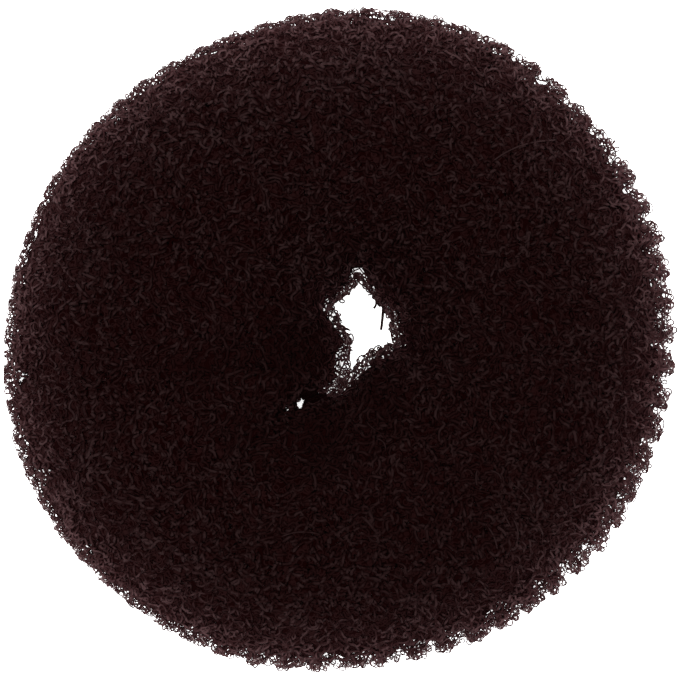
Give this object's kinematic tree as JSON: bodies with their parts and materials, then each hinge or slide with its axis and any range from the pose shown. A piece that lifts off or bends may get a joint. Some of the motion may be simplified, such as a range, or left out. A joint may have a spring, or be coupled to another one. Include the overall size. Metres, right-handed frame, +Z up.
{
  "type": "hair donut bun maker",
  "caption": "Soft ring of crinkled dark brown net, rolled and gathered, that a ponytail passes through to be wrapped into a round bun.",
  "frame": {"origin": "middle of the bounding box's bottom face, on the surface that the ring lies on", "axes": "+Z up out of the surface, towards the picture's camera; +X to the picture's right and +Y to its top"},
  "size_m": [0.0904, 0.0894, 0.0335],
  "materials": {
    "curled_net": "matt, faintly shiny on each strand"
  },
  "bodies": {
    "root": {"net_ring": "curled_net"}
  },
  "joints": []
}
